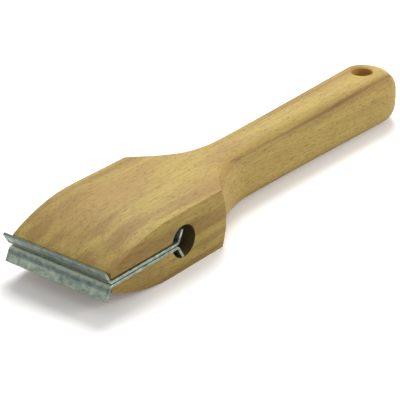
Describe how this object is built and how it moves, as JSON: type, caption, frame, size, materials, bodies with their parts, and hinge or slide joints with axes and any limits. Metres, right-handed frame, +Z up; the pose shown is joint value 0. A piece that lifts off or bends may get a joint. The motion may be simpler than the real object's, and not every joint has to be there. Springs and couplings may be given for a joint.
{
  "type": "hand scraper",
  "caption": "Hand scraper with a flat head and handle in solid beech, hooked steel blades lying back to back in a slot across the head, and a hanging hole in the tail.",
  "frame": {"origin": "under the middle of the whole tool's box, on the surface that it lies on", "axes": "+X from the blades to the tail of the handle, +Y across the head, +Z up, out of the upper face"},
  "size_m": [0.2734, 0.065, 0.031],
  "materials": {
    "beech": "satin",
    "zinc_plated_steel": "satin"
  },
  "bodies": {
    "wooden_body": {"wooden_body": "beech"},
    "upper_blade": {"upper_blade": "zinc_plated_steel"},
    "lower_blade": {"lower_blade": "zinc_plated_steel"}
  },
  "joints": [
    {"name": "upper_blade_slide", "type": "slide", "parent": "wooden_body", "child": "upper_blade", "axis": [0, 1, 0], "range_m": [-0.061, 0.061]},
    {"name": "lower_blade_slide", "type": "slide", "parent": "wooden_body", "child": "lower_blade", "axis": [0, 1, 0], "range_m": [-0.061, 0.061]}
  ]
}
